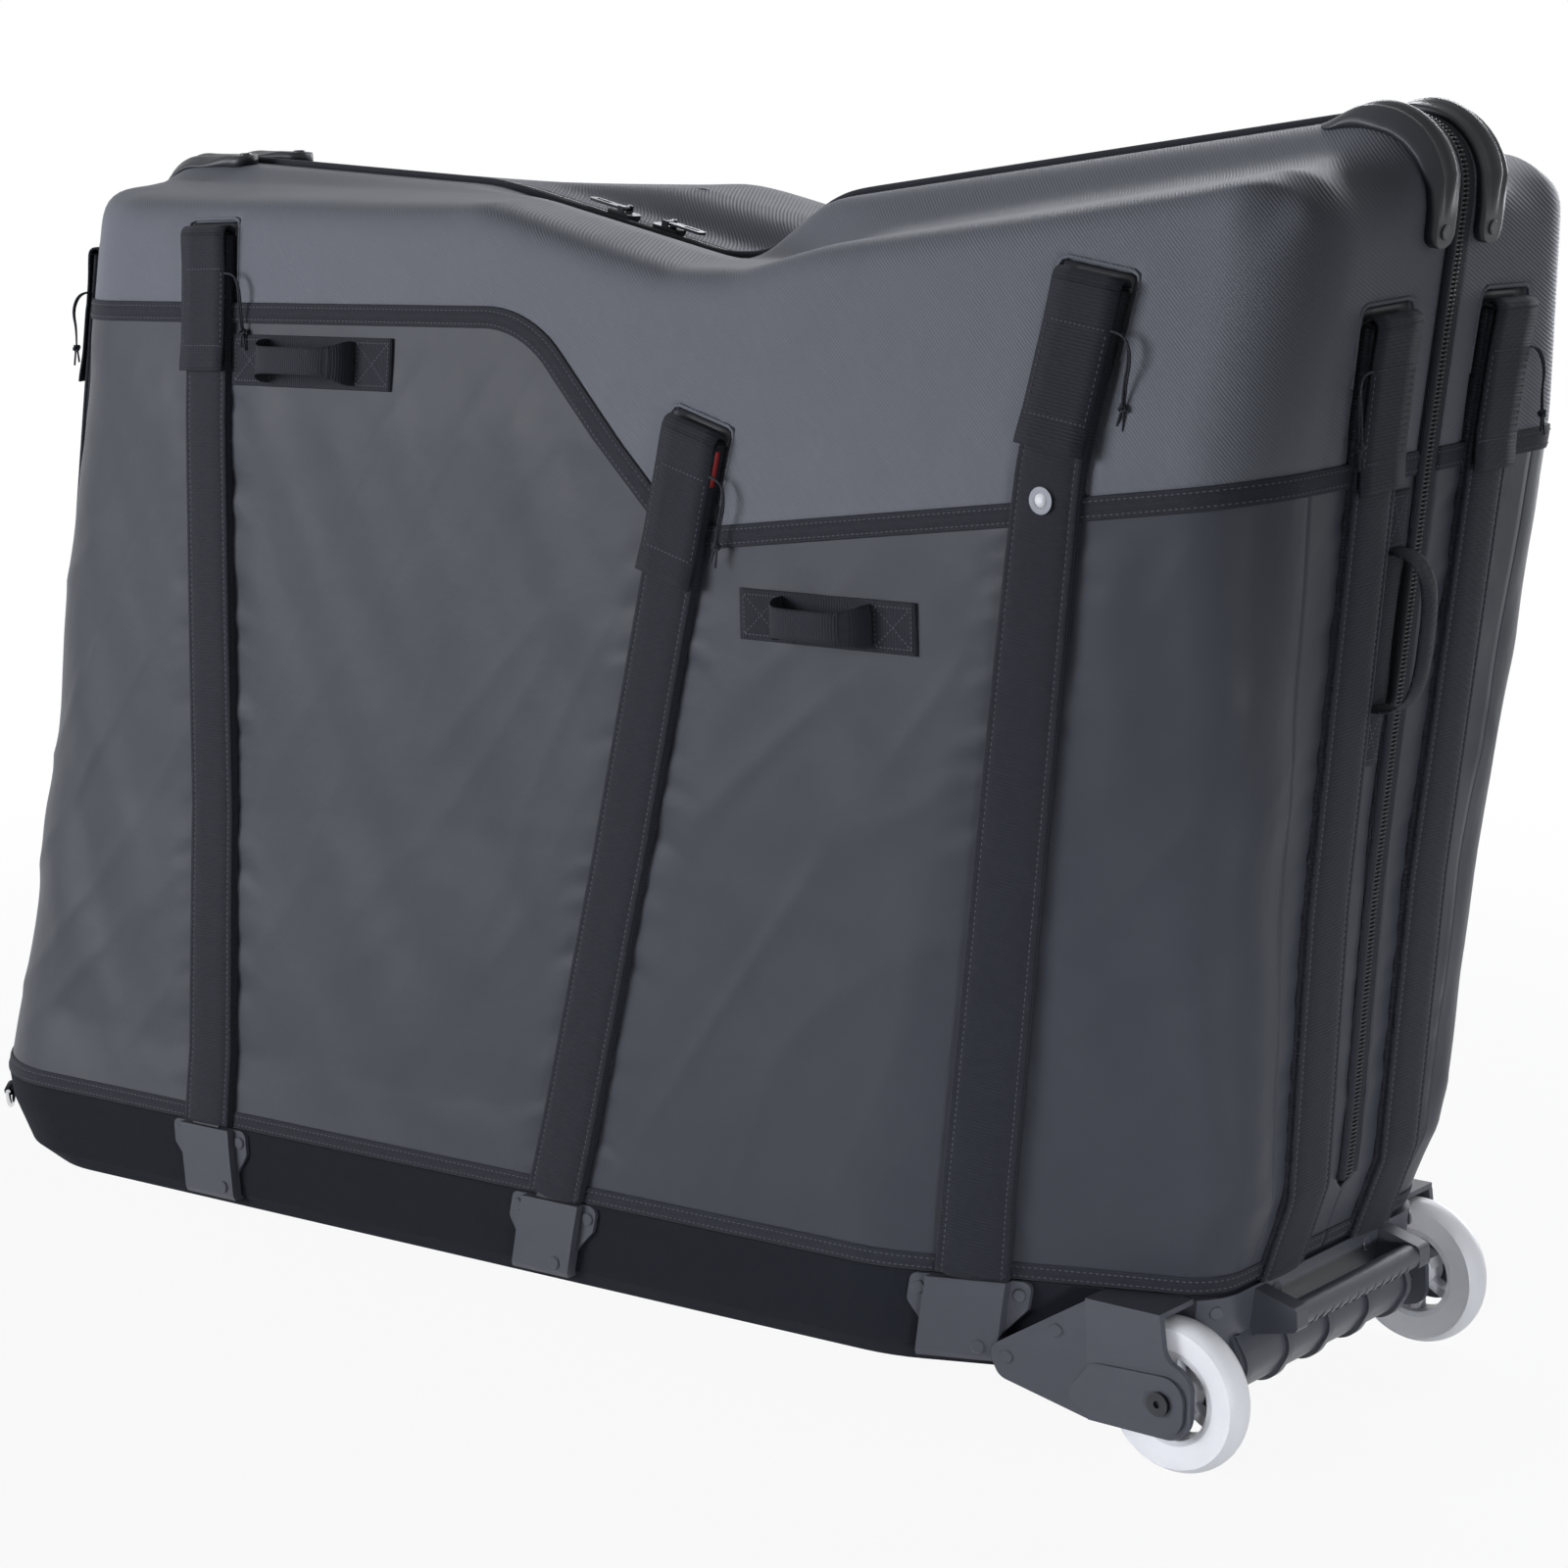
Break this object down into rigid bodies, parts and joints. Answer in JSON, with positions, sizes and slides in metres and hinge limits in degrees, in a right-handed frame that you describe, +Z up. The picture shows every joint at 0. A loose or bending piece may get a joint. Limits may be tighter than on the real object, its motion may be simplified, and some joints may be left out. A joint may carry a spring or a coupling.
{
  "type": "bike travel case",
  "caption": "Wheeled soft-sided bike travel case: low tub on wheels, two zipped fabric halves with moulded top shells, webbing pole sleeves and carry handles.",
  "frame": {"origin": "on the floor under the middle of the case's bounding box", "axes": "+X along the case towards the wheels, +Y across it away from the viewer's side, +Z up"},
  "size_m": [1.3454, 0.5008, 0.9113],
  "materials": {
    "shell": "satin, fine twill grain",
    "panel": "coated tarpaulin, soft sheen",
    "tape": "woven tape, double stitched",
    "webbing": "ribbed webbing",
    "tub": "fleece-covered board",
    "moulding": "fine grain",
    "foam": "closed-cell foam",
    "rivet": "satin",
    "bolt": "black oxide",
    "tyre": "smooth polyurethane",
    "hub": "silver",
    "bearing": "ground steel",
    "guard": "moulded rubber",
    "zip": "coil zip tape",
    "zip_metal": "gunmetal",
    "eyelet": "bright",
    "pole": "pultruded glass fibre",
    "cord": "braided cord",
    "ring": "black"
  },
  "bodies": {
    "base": {"base_tub": "tub", "floor_pad": "foam", "frame_cradle": "foam", "skid_feet": "moulding", "front_pole_brackets": "moulding", "back_pole_brackets": "moulding", "bracket_rivets": "rivet", "carrier_rivets": "rivet", "end_carrier": "moulding", "end_grip": "moulding", "front_wheel_bracket": "moulding", "back_wheel_bracket": "moulding", "axle_bolts": "bolt", "axle_nuts": "bolt", "ring_tabs": "webbing"},
    "front_wheel": {"front_tyre": "tyre", "front_hub": "hub", "front_bearings": "bearing", "front_spacer": "bearing"},
    "back_wheel": {"back_tyre": "tyre", "back_hub": "hub", "back_bearings": "bearing", "back_spacer": "bearing"},
    "front_half": {"front_shell": "shell", "front_side_panel": "panel", "front_wheel_end_panel": "panel", "front_far_end_panel": "panel", "front_binding": "tape", "front_seam_tape": "tape", "front_sleeves": "webbing", "front_poles": "pole", "front_flaps": "webbing", "front_pull_cords": "cord", "front_carry_handles": "webbing", "front_guards": "guard", "front_guard_rivets": "rivet", "front_zip": "zip", "front_eyelet": "eyelet", "front_end_handle": "webbing"},
    "back_half": {"back_shell": "shell", "back_side_panel": "panel", "back_wheel_end_panel": "panel", "back_far_end_panel": "panel", "back_binding": "tape", "back_seam_tape": "tape", "back_sleeves": "webbing", "back_poles": "pole", "back_flaps": "webbing", "back_pull_cords": "cord", "back_carry_handles": "webbing", "back_guards": "guard", "back_guard_rivets": "rivet", "back_zip": "zip", "back_eyelet": "eyelet"},
    "slider_far": {"slider_far": "zip_metal"},
    "slider_wheel": {"slider_wheel": "zip_metal"},
    "pull_far": {"pull_far": "zip_metal"},
    "pull_wheel": {"pull_wheel": "zip_metal"},
    "front_ring": {"front_d_ring": "ring"},
    "back_ring": {"back_d_ring": "ring"}
  },
  "joints": [
    {"name": "front_wheel_spin", "type": "hinge", "parent": "base", "child": "front_wheel", "pos_m": [0.56682, -0.156, 0.055], "axis": [0, 1, 0], "continuous": true},
    {"name": "back_wheel_spin", "type": "hinge", "parent": "base", "child": "back_wheel", "pos_m": [0.56682, 0.156, 0.055], "axis": [0, 1, 0], "continuous": true},
    {"name": "front_half_open", "type": "hinge", "parent": "base", "child": "front_half", "pos_m": [-0.0353, -0.253, 0.09233], "axis": [0.9991, 0, 0.0423], "range_deg": [0, 90]},
    {"name": "back_half_open", "type": "hinge", "parent": "base", "child": "back_half", "pos_m": [-0.0353, 0.253, 0.09233], "axis": [-0.9991, 0, -0.0423], "range_deg": [0, 90]},
    {"name": "slider_far_slide", "type": "slide", "parent": "front_half", "child": "slider_far", "axis": [-0.9809, 0, 0.1944], "range_m": [0, 0.09]},
    {"name": "slider_wheel_slide", "type": "slide", "parent": "front_half", "child": "slider_wheel", "axis": [0.9809, 0, -0.1944], "range_m": [0, 0.04]},
    {"name": "pull_far_swing", "type": "hinge", "parent": "slider_far", "child": "pull_far", "pos_m": [-0.07568, 0, 0.81736], "axis": [0, 1, 0], "range_deg": [0, 150]},
    {"name": "pull_wheel_swing", "type": "hinge", "parent": "slider_wheel", "child": "pull_wheel", "pos_m": [-0.02925, 0, 0.80816], "axis": [0, -1, 0], "range_deg": [0, 150]},
    {"name": "front_ring_swing", "type": "hinge", "parent": "base", "child": "front_ring", "pos_m": [-0.62716, -0.21832, 0.04543], "axis": [-0.7065, 0.7071, -0.0299], "range_deg": [0, 85]},
    {"name": "back_ring_swing", "type": "hinge", "parent": "base", "child": "back_ring", "pos_m": [-0.62716, 0.21832, 0.04543], "axis": [0.7065, 0.7071, 0.0299], "range_deg": [0, 85]}
  ]
}
